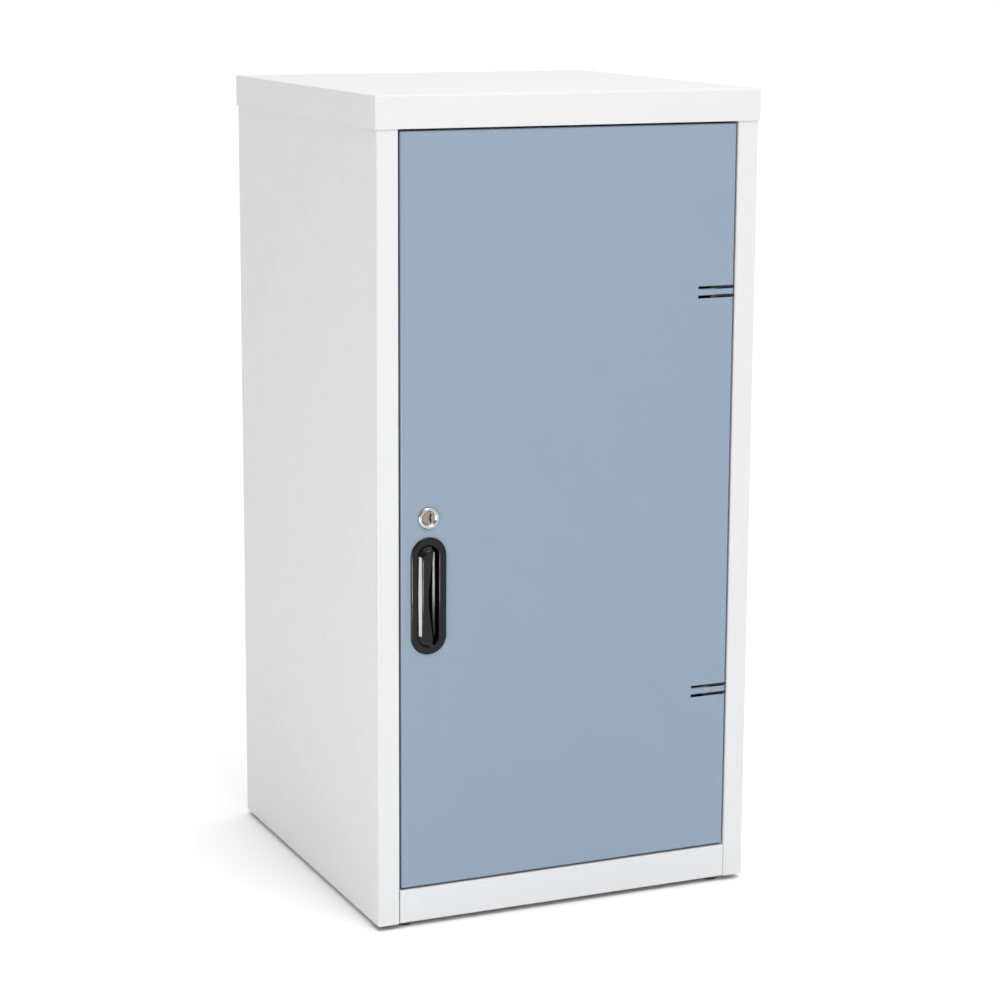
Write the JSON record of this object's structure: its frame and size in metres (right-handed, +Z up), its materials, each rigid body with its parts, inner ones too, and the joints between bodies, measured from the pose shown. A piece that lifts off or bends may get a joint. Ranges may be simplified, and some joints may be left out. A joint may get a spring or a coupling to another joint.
{
  "type": "bedside cabinet",
  "caption": "Free-standing folded-steel bedside cabinet with an inset lockable side-hung door, recessed oval pull, adjustable shelf and levelling glides.",
  "frame": {"origin": "on the floor under the middle of the cabinet's footprint", "axes": "+Z up; the door faces -Y; +X to the right seen from the front, the hinge side"},
  "size_m": [0.4, 0.407, 0.8],
  "materials": {
    "white_powder_coat": "satin powder coat",
    "blue_powder_coat": "satin powder coat",
    "zinc_plate": "zinc plated",
    "black_steel": "black electrocoat",
    "lock_chrome": "polished",
    "plug_nickel": "satin nickel",
    "handle_plastic": "gloss",
    "glide_plastic": "matte",
    "buffer_rubber": "matte"
  },
  "bodies": {
    "cabinet": {"left_side_panel": "white_powder_coat", "right_side_panel": "white_powder_coat", "back_panel": "white_powder_coat", "back_rivets": "zinc_plate", "top_cap": "white_powder_coat", "front_header": "white_powder_coat", "floor_pan": "white_powder_coat", "foot_brackets": "zinc_plate", "foot_nuts": "zinc_plate", "shelf_uprights": "white_powder_coat", "shelf_clips": "zinc_plate", "shelf": "white_powder_coat", "upper_hinge_bracket": "black_steel", "lower_hinge_bracket": "black_steel", "upper_hinge_pin": "zinc_plate", "lower_hinge_pin": "zinc_plate", "door_buffers": "buffer_rubber"},
    "door": {"door_skin": "blue_powder_coat", "door_stiffener": "blue_powder_coat", "upper_hinge_leaf": "blue_powder_coat", "lower_hinge_leaf": "blue_powder_coat", "handle_shell": "handle_plastic", "lock_housing": "lock_chrome", "lock_nut": "zinc_plate"},
    "lock_core": {"lock_plug": "plug_nickel", "lock_cam": "zinc_plate", "cam_screw": "zinc_plate"},
    "front_left_glide": {"front_left_glide_pad": "glide_plastic", "front_left_glide_stud": "zinc_plate"},
    "front_right_glide": {"front_right_glide_pad": "glide_plastic", "front_right_glide_stud": "zinc_plate"},
    "rear_left_glide": {"rear_left_glide_pad": "glide_plastic", "rear_left_glide_stud": "zinc_plate"},
    "rear_right_glide": {"rear_right_glide_pad": "glide_plastic", "rear_right_glide_stud": "zinc_plate"}
  },
  "joints": [
    {"name": "door_hinge", "type": "hinge", "parent": "cabinet", "child": "door", "pos_m": [0.1553, -0.191, 0.40375], "axis": [0, 0, 1], "range_deg": [0, 130]},
    {"name": "lock_turn", "type": "hinge", "parent": "door", "child": "lock_core", "pos_m": [-0.1469, -0.1985, 0.40355], "axis": [0, 1, 0], "range_deg": [0, 90]},
    {"name": "front_left_glide_screw", "type": "slide", "parent": "cabinet", "child": "front_left_glide", "axis": [0, 0, -1], "range_m": [0, 0.01]},
    {"name": "front_right_glide_screw", "type": "slide", "parent": "cabinet", "child": "front_right_glide", "axis": [0, 0, -1], "range_m": [0, 0.01]},
    {"name": "rear_left_glide_screw", "type": "slide", "parent": "cabinet", "child": "rear_left_glide", "axis": [0, 0, -1], "range_m": [0, 0.01]},
    {"name": "rear_right_glide_screw", "type": "slide", "parent": "cabinet", "child": "rear_right_glide", "axis": [0, 0, -1], "range_m": [0, 0.01]}
  ]
}
